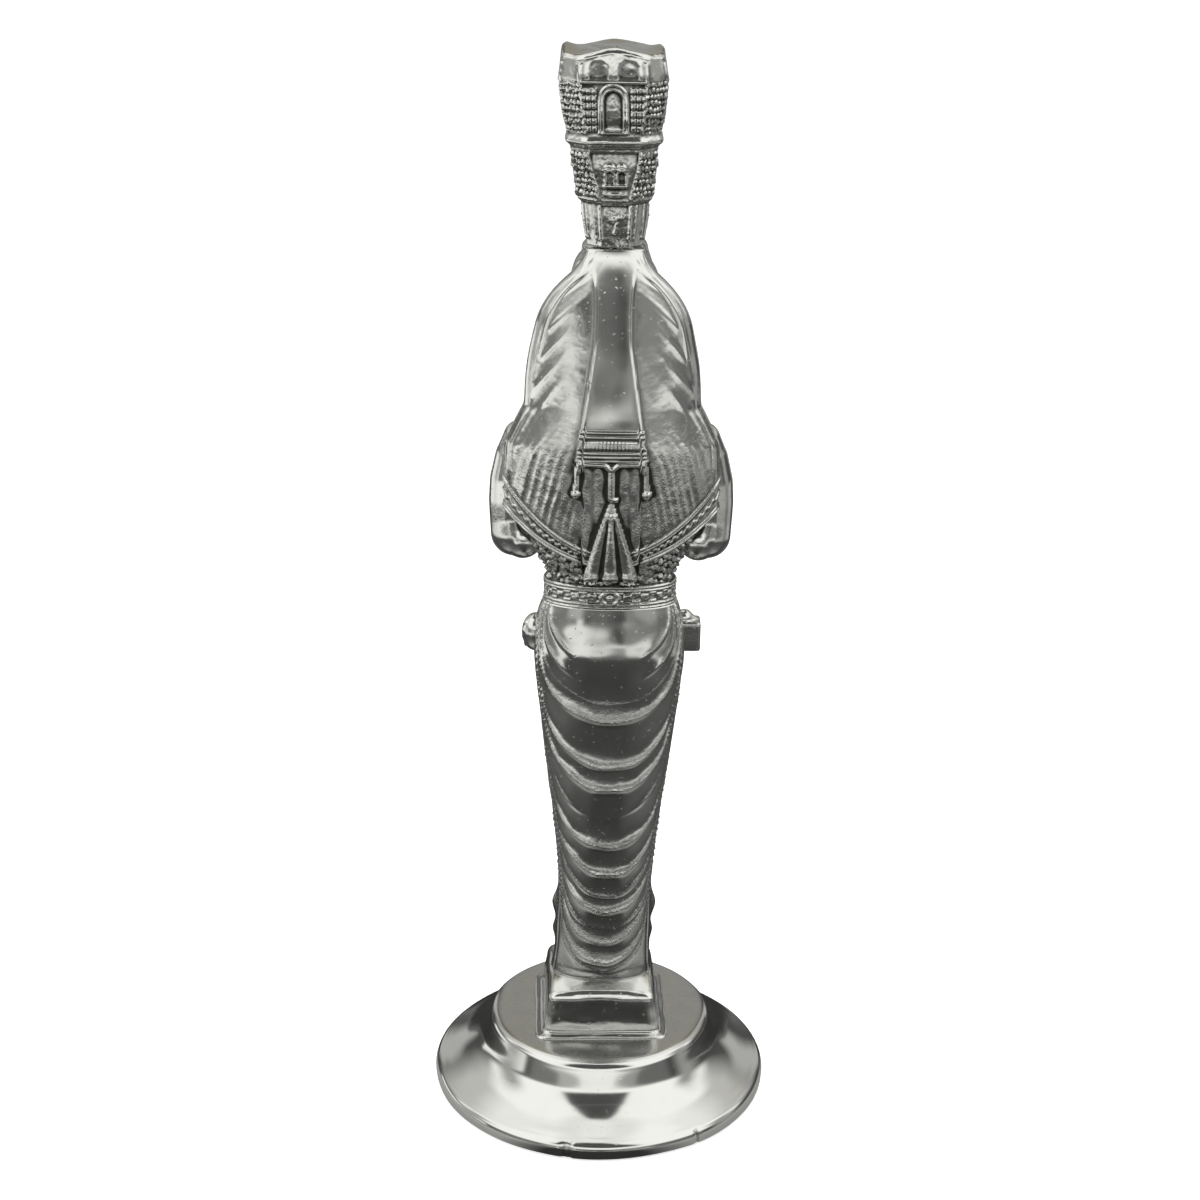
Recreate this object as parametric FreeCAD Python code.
"""Robed statuette with a veil and a tall eight-sided crown, on a square plinth and a round flared base.

It is a set of castings held together by one vertical tie rod. The axis of the rod is the Z axis,
Z = 0 is the underside of the felt pad, and the figure faces -Y. Every size is in millimetres.
"""

import FreeCAD
import Part
import math
import os

Vec = FreeCAD.Vector
UP = Vec(0, 0, 1)
BACK = Vec(0, 1, 0)
SIDES = (1, -1)          # the figure's left is +X and its right is -X
FAR = 200.0              # longer than the whole figure, for blocks that only cut

# ---- fits ----------------------------------------------------------------------------------------
SLIP = 0.05              # radial clearance of a rod, screw or dowel in its hole
SEAM = 0.1               # gap between two castings that are fitted to one another

# ---- felt pad and round base ---------------------------------------------------------------------
PAD_THICKNESS = 1.4
PAD_PROUD = 0.5          # how far the felt stands below the metal rim
BASE_RADIUS = 46.0
BASE_TOP = 19.9          # top of the round step, above the ground
RIM_TOP = 4.6            # top of the turned rim, above the ground
RIM_ROUND = 1.2
RIM_LIP = 2.6            # metal left outside the felt
STEP_RADIUS = 29.3       # round step that carries the plinth
STEP_ROUND = 1.6
STEP_WALL = 3.0          # straight wall of the step between its round edge and the flare
FLARE_HOLLOW = (0.27, 0.28)   # how near the flare comes to the step's wall and to the rim's level
NUT_WELL_RADIUS = 13.0
NUT_WELL_ROOF = 9.5      # seat of the washer, above the ground

# ---- tie rod and its fasteners -------------------------------------------------------------------
ROD_RADIUS = 3.0
ROD_END_CLEARANCE = 0.5  # rod's lower end above the felt
ROD_GRIP = 12.0          # length of the rod inside the torso
WASHER_RADIUS = 9.0
WASHER_THICKNESS = 1.6
NUT_ACROSS_FLATS = 10.0
NUT_HEIGHT = 5.0

# ---- plinth --------------------------------------------------------------------------------------
PLINTH_WIDTH = 31.2
PLINTH_DEPTH = 31.2
PLINTH_HEIGHT = 13.7
PLINTH_ROUND = 0.9
PLINTH_DOWEL_RADIUS = 1.5
PLINTH_DOWEL_LENGTH = 9.0
PLINTH_DOWEL_OFFSET = 9.5
SPIGOT_HEIGHT = 3.0      # oval spigots on the plinth and under the torso

# ---- skirt: half width and half depth ------------------------------------------------------------
SKIRT_HEIGHT = 108.2
HEM_HALF = (13.2, 8.8)
ANKLE_HALF = (12.9, 8.6)
KNEE_HALF = (15.5, 9.4)
THIGH_HALF = (18.7, 10.6)
HIP_HALF = (19.6, 10.4)
SKIRT_TOP_HALF = (17.4, 8.9)
ANKLE_AT = 0.27          # shares of the skirt's height
KNEE_AT = 0.53
THIGH_AT = 0.79
HIP_AT = 0.90
CORE_LOW_HALF = (9.2, 5.4)    # the hollow of the skirt, open to the plinth
CORE_HIGH_HALF = (12.0, 6.4)
SKIRT_ROOF = 7.0         # metal above the hollow
HIP_BLOCK_DROP = 14.6    # underside of the side blocks, below the belt
HIP_BLOCK_HEIGHT = 9.4
HIP_BLOCK_DEPTH = 7.0
HIP_BLOCK_PROUD = 4.6    # how far the square block stands out of the hip
HIP_KNOB_PROUD = 2.2     # how far the rounded one stands out
HIP_BLOCK_ROOT = 3.0     # how far both go into the hip
HIP_BLOCK_ROUND = 0.6
FOOT_WIDTH = 6.6
FOOT_HEIGHT = 4.6
FOOT_LENGTH = 5.8        # toe to the hem of the skirt
FOOT_SPACING = 8.4

# ---- belt and torso ------------------------------------------------------------------------------
BELT_HEIGHT = 7.0
BELT_THICKNESS = 1.3
WAIST_HALF = (16.1, 7.6)
TORSO_SPIGOT_HALF = (10.0, 4.6)
CHEST_LOW_HALF = (20.6, 9.6)
CHEST_HALF = (22.4, 10.0)
SHOULDER_HALF = (22.2, 9.2)
NECK_BASE_HALF = (8.6, 7.4)
CHEST_LOW_RISE = 16.0    # heights above the bottom of the belt
CHEST_RISE = 27.0
SHOULDER_RISE = 43.0
TORSO_HEIGHT = 58.2

# ---- head ----------------------------------------------------------------------------------------
HEAD_HALF = (9.8, 10.6, 14.4)
HEAD_RISE = 20.0         # middle of the head above the torso
HEAD_FORWARD = 3.4       # middle of the face in front of the rod's axis
HAIR_HALF = (12.2, 9.6, 12.6)
HAIR_RISE = 0.8          # middle of the hair above the middle of the face
NECK_RADIUS = 6.0
NECK_FORWARD = 0.6
NECK_SOCKET = 4.5        # depth of the neck in the torso

# ---- veil: drop below the crown's seat, half width, depth behind the axis -------------------------
VEIL_SECTIONS = (
    (0.0, 8.0, 8.2),
    (7.0, 11.4, 10.0),
    (14.0, 17.6, 11.2),
    (22.0, 20.4, 11.8),
    (32.0, 21.7, 12.2),
    (41.0, 22.2, 12.5),
    (49.0, 25.0, 12.8),
    (60.0, 26.4, 13.0),
    (86.0, 22.0, 11.6),
)
VEIL_FACE = 4.0          # flat joint between the veil and what stands in front of it
HEM_SIDE_DROP = 60.0     # where the hem meets the side of the veil
HEM_LOW_DROP = 84.5      # lowest point of the hem
VEIL_DOWEL_RADIUS = 1.25
VEIL_DOWEL_LENGTH = 5.0
VEIL_DOWEL_SPREAD = 11.0
VEIL_DOWEL_RISE = 27.0   # above the bottom of the belt

# ---- arms ----------------------------------------------------------------------------------------
SHOULDER_OUT = 1.2       # shoulder's middle outside the shoulder line of the torso
SLEEVE_OUT = 3.2         # sleeve's and elbow's middles outside the chest
ELBOW_OUT = 2.4
ARM_FORWARD = 2.6        # middle of the upper arm in front of the rod's axis
SLEEVE_RISE = 28.5       # heights above the bottom of the belt
ELBOW_RISE = 16.9
WRIST_RISE = 20.5
SHOULDER_JOINT_RISE = 41.4
FOREARM_LENGTH = 24.5
WRIST_IN = 3.2           # the wrists turn in by this much
SHOULDER_RADIUS = 5.0
SLEEVE_RADIUS = 5.8
ELBOW_RADIUS = 6.3
FOREARM_RADIUS = 4.6
WRIST_RADIUS = 2.7
HAND_LENGTH = 11.5
HAND_WIDTH = 7.6
HAND_THICKNESS = 3.2
ARM_DOWEL_RADIUS = 1.5
ARM_DOWEL_LENGTH = 8.0
ARM_DOWEL_DROP = 6.0     # below the shoulder's middle

# ---- crown: height, half width below and half width above, across the flats ----------------------
CROWN_SIDES = 8
CROWN_LOW_TIER = (11.0, 7.9, 9.2)
CROWN_MID_TIER = (13.8, 9.8, 10.9)
CROWN_LEDGE = (2.2, 11.5, 11.7)
CROWN_TOP_TIER = (20.0, 11.3, 13.1)
CROWN_WALL = 2.4
CROWN_FLOOR = 5.0
CAP_THICKNESS = 1.6
CAP_DOME = 1.2
CAP_LEDGE = 1.2          # ledge inside the crown that the cap lies on
SCREW_RADIUS = 2.0
SCREW_HEAD_RADIUS = 3.5
SCREW_HEAD_HEIGHT = 3.0
SCREW_LENGTH = 18.0      # shank, without the head
SCREW_SLOT = (0.9, 1.2)  # width and depth

# ---- levels that follow from the sizes above -----------------------------------------------------
PLINTH_TOP = BASE_TOP + PLINTH_HEIGHT
SKIRT_TOP = PLINTH_TOP + SKIRT_HEIGHT
TORSO_TOP = SKIRT_TOP + TORSO_HEIGHT
HEAD_MIDDLE = TORSO_TOP + HEAD_RISE
CROWN_SEAT = HEAD_MIDDLE + HEAD_HALF[2] - 0.4
ROD_TOP = SKIRT_TOP + ROD_GRIP
CAP_HALF = CROWN_MID_TIER[2] - CROWN_WALL + CAP_LEDGE


# ---- shapes used more than once ------------------------------------------------------------------
def oval(z, half_width, half_depth):
    """Closed ellipse, wider than it is deep, at height z."""
    return Part.Wire([Part.Ellipse(Vec(0, 0, z), half_width, half_depth).toShape()])


def loft(wires, ruled=False):
    return Part.makeLoft(wires, True, ruled)


def straight_oval(half, low, high):
    """Upright prism with an oval section."""
    return loft([oval(low, *half), oval(high, *half)], ruled=True)


def rod(radius, low, high, x=0.0, y=0.0):
    """Upright round bar, also used to cut its hole."""
    return Part.makeCylinder(radius, high - low, Vec(x, y, low), UP)


def ellipsoid(half, centre):
    """Ball stretched to three half sizes."""
    stretch = FreeCAD.Matrix()
    stretch.scale(*half)
    ball = Part.makeSphere(1.0).transformGeometry(stretch)
    ball.translate(Vec(*centre))
    return ball


def fuse_all(shapes):
    first, *rest = shapes
    for shape in rest:
        first = first.fuse(shape)
    return first


def cut_all(shape, tools):
    for tool in tools:
        shape = shape.cut(tool)
    return shape


def behind(y):
    """Block that fills everything behind the plane Y = y."""
    return Part.makeBox(2 * FAR, FAR, 4 * FAR, Vec(-FAR, y, -FAR))


# ---- pad, base and fasteners ---------------------------------------------------------------------
def make_base_pad():
    return rod(BASE_RADIUS - RIM_LIP - SEAM, 0, PAD_THICKNESS)


def plinth_dowels(clearance=0.0):
    """The two dowels that keep the plinth square to the base."""
    reach = PLINTH_DOWEL_LENGTH / 2 + clearance
    radius = PLINTH_DOWEL_RADIUS + clearance
    return [rod(radius, BASE_TOP - reach, BASE_TOP + reach, x=side * PLINTH_DOWEL_OFFSET) for side in SIDES]


def make_round_base():
    """Turned casting: rim, hollow flare and step, with a well underneath for the nut."""
    corner = 1 - math.sqrt(0.5)
    flare_top = Vec(STEP_RADIUS, 0, BASE_TOP - STEP_ROUND - STEP_WALL)
    flare_foot = Vec(BASE_RADIUS - RIM_ROUND, 0, RIM_TOP)
    flare_middle = Vec(
        flare_top.x + FLARE_HOLLOW[0] * (flare_foot.x - flare_top.x),
        0,
        flare_foot.z + FLARE_HOLLOW[1] * (flare_top.z - flare_foot.z),
    )
    step_inner = Vec(STEP_RADIUS - STEP_ROUND, 0, BASE_TOP)
    step_middle = Vec(STEP_RADIUS - corner * STEP_ROUND, 0, BASE_TOP - corner * STEP_ROUND)
    step_outer = Vec(STEP_RADIUS, 0, BASE_TOP - STEP_ROUND)
    rim_middle = Vec(BASE_RADIUS - corner * RIM_ROUND, 0, RIM_TOP - corner * RIM_ROUND)
    rim_outer = Vec(BASE_RADIUS, 0, RIM_TOP - RIM_ROUND)
    rim_under = Vec(BASE_RADIUS, 0, PAD_PROUD)
    middle_top = Vec(0, 0, BASE_TOP)
    middle_under = Vec(0, 0, PAD_PROUD)
    edges = [
        Part.makeLine(middle_under, middle_top),
        Part.makeLine(middle_top, step_inner),
        Part.Arc(step_inner, step_middle, step_outer).toShape(),
        Part.makeLine(step_outer, flare_top),
        Part.Arc(flare_top, flare_middle, flare_foot).toShape(),
        Part.Arc(flare_foot, rim_middle, rim_outer).toShape(),
        Part.makeLine(rim_outer, rim_under),
        Part.makeLine(rim_under, middle_under),
    ]
    turned = Part.Face(Part.Wire(edges)).revolve(Vec(0, 0, 0), UP, 360)
    pad_recess = rod(BASE_RADIUS - RIM_LIP, 0, PAD_THICKNESS)
    nut_well = rod(NUT_WELL_RADIUS, 0, NUT_WELL_ROOF)
    rod_hole = rod(ROD_RADIUS + SLIP, 0, BASE_TOP + 1)
    return cut_all(turned, [pad_recess, nut_well, rod_hole, *plinth_dowels(SLIP)])


def make_tie_rod():
    return rod(ROD_RADIUS, PAD_THICKNESS + ROD_END_CLEARANCE, ROD_TOP)


def make_rod_washer():
    disc = rod(WASHER_RADIUS, NUT_WELL_ROOF - WASHER_THICKNESS, NUT_WELL_ROOF)
    return disc.cut(rod(ROD_RADIUS + SLIP, 0, BASE_TOP))


def make_rod_nut():
    low = NUT_WELL_ROOF - WASHER_THICKNESS - NUT_HEIGHT
    corner = NUT_ACROSS_FLATS / 2 / math.cos(math.pi / 6)
    turns = [k * math.pi / 3 for k in range(7)]
    hexagon = Part.makePolygon([Vec(corner * math.cos(a), corner * math.sin(a), low) for a in turns])
    nut = Part.Face(hexagon).extrude(Vec(0, 0, NUT_HEIGHT))
    return nut.cut(rod(ROD_RADIUS + SLIP, 0, BASE_TOP))


# ---- plinth --------------------------------------------------------------------------------------
def make_square_plinth():
    """Square block with an oval spigot that enters the hollow of the skirt."""
    corner = Vec(-PLINTH_WIDTH / 2, -PLINTH_DEPTH / 2, BASE_TOP)
    block = Part.makeBox(PLINTH_WIDTH, PLINTH_DEPTH, PLINTH_HEIGHT, corner)
    upper_edges = [edge for edge in block.Edges if edge.BoundBox.ZMax > BASE_TOP + PLINTH_ROUND]
    block = block.makeFillet(PLINTH_ROUND, upper_edges)
    spigot_half = (CORE_LOW_HALF[0] - SEAM, CORE_LOW_HALF[1] - SEAM)
    block = block.fuse(straight_oval(spigot_half, BASE_TOP + PLINTH_ROUND, PLINTH_TOP + SPIGOT_HEIGHT))
    rod_hole = rod(ROD_RADIUS + SLIP, BASE_TOP - 1, PLINTH_TOP + SPIGOT_HEIGHT + 1)
    return cut_all(block, [rod_hole, *plinth_dowels(SLIP)])


# ---- skirt ---------------------------------------------------------------------------------------
def skirt_outside():
    halves = (
        (0.0, HEM_HALF),
        (ANKLE_AT, ANKLE_HALF),
        (KNEE_AT, KNEE_HALF),
        (THIGH_AT, THIGH_HALF),
        (HIP_AT, HIP_HALF),
        (1.0, SKIRT_TOP_HALF),
    )
    return loft([oval(PLINTH_TOP + share * SKIRT_HEIGHT, *half) for share, half in halves])


def skirt_core():
    """The hollow of the skirt: straight around the plinth's spigot, then widening to its roof."""
    neck = straight_oval(CORE_LOW_HALF, PLINTH_TOP, PLINTH_TOP + SPIGOT_HEIGHT + SEAM)
    ends = [
        oval(PLINTH_TOP + SPIGOT_HEIGHT, *CORE_LOW_HALF),
        oval(SKIRT_TOP - SKIRT_ROOF, *CORE_HIGH_HALF),
    ]
    return neck.fuse(loft(ends, ruled=True))


def hip_blocks():
    """Square block on the right hip and a rounded knob on the left one."""
    low = SKIRT_TOP - HIP_BLOCK_DROP
    outer = -HIP_HALF[0] - HIP_BLOCK_PROUD
    length = HIP_BLOCK_PROUD + HIP_BLOCK_ROOT
    block = Part.makeBox(length, HIP_BLOCK_DEPTH, HIP_BLOCK_HEIGHT, Vec(outer, -HIP_BLOCK_DEPTH / 2, low))
    outer_edges = [edge for edge in block.Edges if edge.BoundBox.XMax < outer + SEAM]
    block = block.makeFillet(HIP_BLOCK_ROUND, outer_edges)
    knob_half = (HIP_KNOB_PROUD + HIP_BLOCK_ROOT, HIP_BLOCK_DEPTH / 2, HIP_BLOCK_HEIGHT / 2)
    knob = ellipsoid(knob_half, (HIP_HALF[0] - HIP_BLOCK_ROOT, 0, low + HIP_BLOCK_HEIGHT / 2))
    return [block, knob]


def feet():
    """The two forefeet that show under the hem, standing on the plinth."""
    above_plinth = Part.makeBox(FAR, FAR, FAR, Vec(-FAR / 2, -FAR / 2, PLINTH_TOP))
    reach = (HEM_HALF[1] + FOOT_LENGTH) / 2
    half = (FOOT_WIDTH / 2, reach, FOOT_HEIGHT)
    pair = [ellipsoid(half, (side * FOOT_SPACING / 2, -reach, PLINTH_TOP)) for side in SIDES]
    return [foot.common(above_plinth) for foot in pair]


def torso_spigot(clearance=0.0):
    half = (TORSO_SPIGOT_HALF[0] + clearance, TORSO_SPIGOT_HALF[1] + clearance)
    return straight_oval(half, SKIRT_TOP - SPIGOT_HEIGHT - clearance, SKIRT_TOP)


def make_skirt_casting():
    outside = fuse_all([skirt_outside(), *hip_blocks(), *feet()])
    rod_hole = rod(ROD_RADIUS + SLIP, PLINTH_TOP - 1, SKIRT_TOP + 1)
    return cut_all(outside, [skirt_core(), torso_spigot(SEAM), rod_hole])


# ---- belt and torso ------------------------------------------------------------------------------
def make_belt_band():
    """Oval band around the waist, standing on the skirt and covering the joint above it."""
    outer_half = (WAIST_HALF[0] + BELT_THICKNESS, WAIST_HALF[1] + BELT_THICKNESS)
    inner_half = (WAIST_HALF[0] + SLIP, WAIST_HALF[1] + SLIP)
    levels = (SKIRT_TOP, SKIRT_TOP + BELT_HEIGHT)
    return straight_oval(outer_half, *levels).cut(straight_oval(inner_half, *levels))


def torso_outside(grow=0.0):
    """Waist, chest, shoulders and the root of the neck."""
    halves = (
        (BELT_HEIGHT, WAIST_HALF),
        (CHEST_LOW_RISE, CHEST_LOW_HALF),
        (CHEST_RISE, CHEST_HALF),
        (SHOULDER_RISE, SHOULDER_HALF),
        (TORSO_HEIGHT, NECK_BASE_HALF),
    )
    waist_half = (WAIST_HALF[0] + grow, WAIST_HALF[1] + grow)
    waist = straight_oval(waist_half, SKIRT_TOP, SKIRT_TOP + BELT_HEIGHT)
    chest = loft([oval(SKIRT_TOP + rise, half[0] + grow, half[1] + grow) for rise, half in halves])
    return waist.fuse(chest)


def arm_dowel(side, clearance=0.0):
    """Cross dowel, half in the torso and half in the arm."""
    reach = ARM_DOWEL_LENGTH / 2 + clearance
    shoulder = shoulder_point(side)
    start = Vec(side * (SHOULDER_HALF[0] - reach), shoulder.y, shoulder.z - ARM_DOWEL_DROP)
    return Part.makeCylinder(ARM_DOWEL_RADIUS + clearance, 2 * reach, start, Vec(side, 0, 0))


def veil_dowel(side, clearance=0.0):
    """Dowel that keys the veil to the back of the chest, half in each."""
    surface = CHEST_HALF[1] * math.sqrt(1 - (VEIL_DOWEL_SPREAD / CHEST_HALF[0]) ** 2)
    reach = VEIL_DOWEL_LENGTH / 2 + clearance
    start = Vec(side * VEIL_DOWEL_SPREAD, surface - reach, SKIRT_TOP + VEIL_DOWEL_RISE)
    return Part.makeCylinder(VEIL_DOWEL_RADIUS + clearance, 2 * reach, start, BACK)


def neck(clearance=0.0):
    low = TORSO_TOP - NECK_SOCKET - clearance
    return rod(NECK_RADIUS + clearance, low, HEAD_MIDDLE, y=-NECK_FORWARD)


def make_torso_casting():
    body = torso_outside().fuse(torso_spigot())
    holes = [
        rod(ROD_RADIUS + SLIP, SKIRT_TOP - SPIGOT_HEIGHT - 1, ROD_TOP + SLIP),
        neck(SLIP),
        *(arm_dowel(side, SLIP) for side in SIDES),
        *(veil_dowel(side, SLIP) for side in SIDES),
    ]
    return cut_all(body, holes)


# ---- veil ----------------------------------------------------------------------------------------
def veil_section(drop, half_width, depth):
    """Half of an oval behind the flat joint, closed by a straight line along the joint."""
    z = CROWN_SEAT - drop
    side = Vec(half_width, VEIL_FACE, z)
    other_side = Vec(-half_width, VEIL_FACE, z)
    back = Vec(0, depth, z)
    centre = Vec(0, VEIL_FACE, z)
    if half_width > depth - VEIL_FACE:
        half_oval = Part.Arc(Part.Ellipse(side, back, centre), 0, math.pi)
    else:
        half_oval = Part.Arc(Part.Ellipse(back, other_side, centre), -math.pi / 2, math.pi / 2)
    return Part.Wire([half_oval.toShape(), Part.makeLine(other_side, side)])


def below_hem():
    """Block under the curved hem."""
    reach = max(half_width for _, half_width, _ in VEIL_SECTIONS) + 1
    left = Vec(-reach, 0, CROWN_SEAT - HEM_SIDE_DROP)
    right = Vec(reach, 0, CROWN_SEAT - HEM_SIDE_DROP)
    lowest = Vec(0, 0, CROWN_SEAT - HEM_LOW_DROP)
    left_foot = Vec(-reach, 0, lowest.z - reach)
    right_foot = Vec(reach, 0, lowest.z - reach)
    edges = [
        Part.Arc(left, lowest, right).toShape(),
        Part.makeLine(right, right_foot),
        Part.makeLine(right_foot, left_foot),
        Part.makeLine(left_foot, left),
    ]
    return Part.Face(Part.Wire(edges)).extrude(Vec(0, FAR, 0))


def make_veil_casting():
    body = loft([veil_section(*values) for values in VEIL_SECTIONS])
    return cut_all(body, [below_hem(), torso_outside(SEAM), *(veil_dowel(side, SLIP) for side in SIDES)])


# ---- head ----------------------------------------------------------------------------------------
def screw_shank(clearance=0.0):
    high = CROWN_SEAT + CROWN_FLOOR
    return rod(SCREW_RADIUS + clearance, high - SCREW_LENGTH - clearance, high)


def make_head_casting():
    """Face, hair and neck, flat behind where the veil stands and on top where the crown sits."""
    face = ellipsoid(HEAD_HALF, (0, -HEAD_FORWARD, HEAD_MIDDLE))
    hair = ellipsoid(HAIR_HALF, (0, 0, HEAD_MIDDLE + HAIR_RISE))
    head = fuse_all([face, hair, neck()])
    above_seat = Part.makeBox(FAR, FAR, FAR, Vec(-FAR / 2, -FAR / 2, CROWN_SEAT))
    return cut_all(head, [behind(VEIL_FACE - SEAM), above_seat, screw_shank(SLIP)])


# ---- arms ----------------------------------------------------------------------------------------
def shoulder_point(side):
    return Vec(side * (SHOULDER_HALF[0] + SHOULDER_OUT), -ARM_FORWARD, SKIRT_TOP + SHOULDER_JOINT_RISE)


def limb(start, end, start_radius, end_radius):
    """Round limb between two points, straight or tapered, with a ball at its far end."""
    run = end - start
    if math.isclose(start_radius, end_radius):
        shaft = Part.makeCylinder(start_radius, run.Length, start, run)
    else:
        shaft = Part.makeCone(start_radius, end_radius, run.Length, start, run)
    return shaft.fuse(Part.makeSphere(end_radius, end))


def make_arm(side):
    """Upper arm in its sleeve, elbow, forearm held forward and an open hand."""
    shoulder = shoulder_point(side)
    sleeve = Vec(side * (CHEST_HALF[0] + SLEEVE_OUT), -ARM_FORWARD, SKIRT_TOP + SLEEVE_RISE)
    elbow = Vec(side * (CHEST_HALF[0] + ELBOW_OUT), -ARM_FORWARD, SKIRT_TOP + ELBOW_RISE)
    wrist = Vec(elbow.x - side * WRIST_IN, elbow.y - FOREARM_LENGTH, SKIRT_TOP + WRIST_RISE)
    hand_middle = wrist + Vec(0, WRIST_RADIUS / 3 - HAND_LENGTH / 2, 0)
    arm = fuse_all([
        Part.makeSphere(SHOULDER_RADIUS, shoulder),
        limb(shoulder, sleeve, SHOULDER_RADIUS, SLEEVE_RADIUS),
        limb(sleeve, elbow, SLEEVE_RADIUS, ELBOW_RADIUS),
        limb(elbow, wrist, FOREARM_RADIUS, WRIST_RADIUS),
        ellipsoid((HAND_WIDTH / 2, HAND_LENGTH / 2, HAND_THICKNESS / 2), hand_middle),
    ])
    arm = cut_all(arm, [torso_outside(SEAM), behind(VEIL_FACE - SEAM), arm_dowel(side, SLIP)])
    # the chest cuts thin flakes off the inside of the sleeve, and they aren't part of the arm
    return max(arm.Solids, key=lambda solid: solid.Volume)


# ---- crown ---------------------------------------------------------------------------------------
def octagon(z, half_width):
    """Eight-sided wire with a flat to the back, measured across its flats."""
    step = 2 * math.pi / CROWN_SIDES
    corner = half_width / math.cos(step / 2)
    turns = [step / 2 + k * step for k in range(CROWN_SIDES + 1)]
    return Part.makePolygon([Vec(corner * math.cos(a), corner * math.sin(a), z) for a in turns])


def tier(low, height, below, above):
    return loft([octagon(low, below), octagon(low + height, above)], ruled=True)


def crown_levels():
    """Foot of each tier from the seat up, and last the crest."""
    levels = [CROWN_SEAT]
    for height, _, _ in (CROWN_LOW_TIER, CROWN_MID_TIER, CROWN_LEDGE, CROWN_TOP_TIER):
        levels.append(levels[-1] + height)
    return levels


def make_crown_casting():
    """Three tiers and a ledge, open at the top for the cap and the screw."""
    low, middle, ledge, top, crest = crown_levels()
    outside = fuse_all([
        tier(low, *CROWN_LOW_TIER),
        tier(middle, *CROWN_MID_TIER),
        tier(ledge, *CROWN_LEDGE),
        tier(top, *CROWN_TOP_TIER),
    ])
    low_below, low_above = CROWN_LOW_TIER[1] - CROWN_WALL, CROWN_LOW_TIER[2] - CROWN_WALL
    middle_above = CROWN_MID_TIER[2] - CROWN_WALL
    hollows = [
        tier(low + CROWN_FLOOR, middle - low - CROWN_FLOOR, low_below, low_above),
        tier(middle, ledge - middle, low_above, middle_above),
        tier(ledge, crest - ledge, middle_above, middle_above),
        tier(crest - CAP_THICKNESS, CAP_THICKNESS, CAP_HALF, CAP_HALF),
        rod(SCREW_RADIUS + SLIP, low - 1, low + CROWN_FLOOR + 1),
    ]
    return cut_all(outside, hollows)


def make_crown_cap():
    """Eight-sided lid with a low dome."""
    crest = crown_levels()[-1]
    half = CAP_HALF - SEAM
    plate = tier(crest - CAP_THICKNESS, CAP_THICKNESS, half, half)
    return plate.fuse(tier(crest, CAP_DOME, half, half / 3))


def make_crown_screw():
    """Slotted cheese-head screw that holds the crown on the head."""
    seat = CROWN_SEAT + CROWN_FLOOR
    head = rod(SCREW_HEAD_RADIUS, seat, seat + SCREW_HEAD_HEIGHT)
    width, depth = SCREW_SLOT
    corner = Vec(-SCREW_HEAD_RADIUS - 1, -width / 2, seat + SCREW_HEAD_HEIGHT - depth)
    slot = Part.makeBox(2 * SCREW_HEAD_RADIUS + 2, width, depth, corner)
    return screw_shank().fuse(head).cut(slot)


def write(name, shapes):
    """One STEP file for one node, whether it is a single solid or a group of separate ones."""
    solids = [solid for shape in shapes for solid in shape.Solids]
    node = solids[0] if len(solids) == 1 else Part.makeCompound(solids)
    node.exportStep(os.path.join("parts", name + ".step"))
    volume = sum(solid.Volume for solid in solids) / 1000
    print(f"{name}: solids {len(solids)}, volume {volume:.2f} cm3, valid {node.isValid()}")


def main():
    os.makedirs("parts", exist_ok=True)
    write("base_pad", [make_base_pad()])
    write("round_base", [make_round_base()])
    write("tie_rod", [make_tie_rod()])
    write("rod_washer", [make_rod_washer()])
    write("rod_nut", [make_rod_nut()])
    write("plinth_dowels", plinth_dowels())
    write("square_plinth", [make_square_plinth()])
    write("skirt_casting", [make_skirt_casting()])
    write("belt_band", [make_belt_band()])
    write("torso_casting", [make_torso_casting()])
    write("veil_casting", [make_veil_casting()])
    write("veil_dowels", [veil_dowel(side) for side in SIDES])
    write("head_casting", [make_head_casting()])
    write("left_arm", [make_arm(1)])
    write("right_arm", [make_arm(-1)])
    write("arm_dowels", [arm_dowel(side) for side in SIDES])
    write("crown_casting", [make_crown_casting()])
    write("crown_cap", [make_crown_cap()])
    write("crown_screw", [make_crown_screw()])


main()
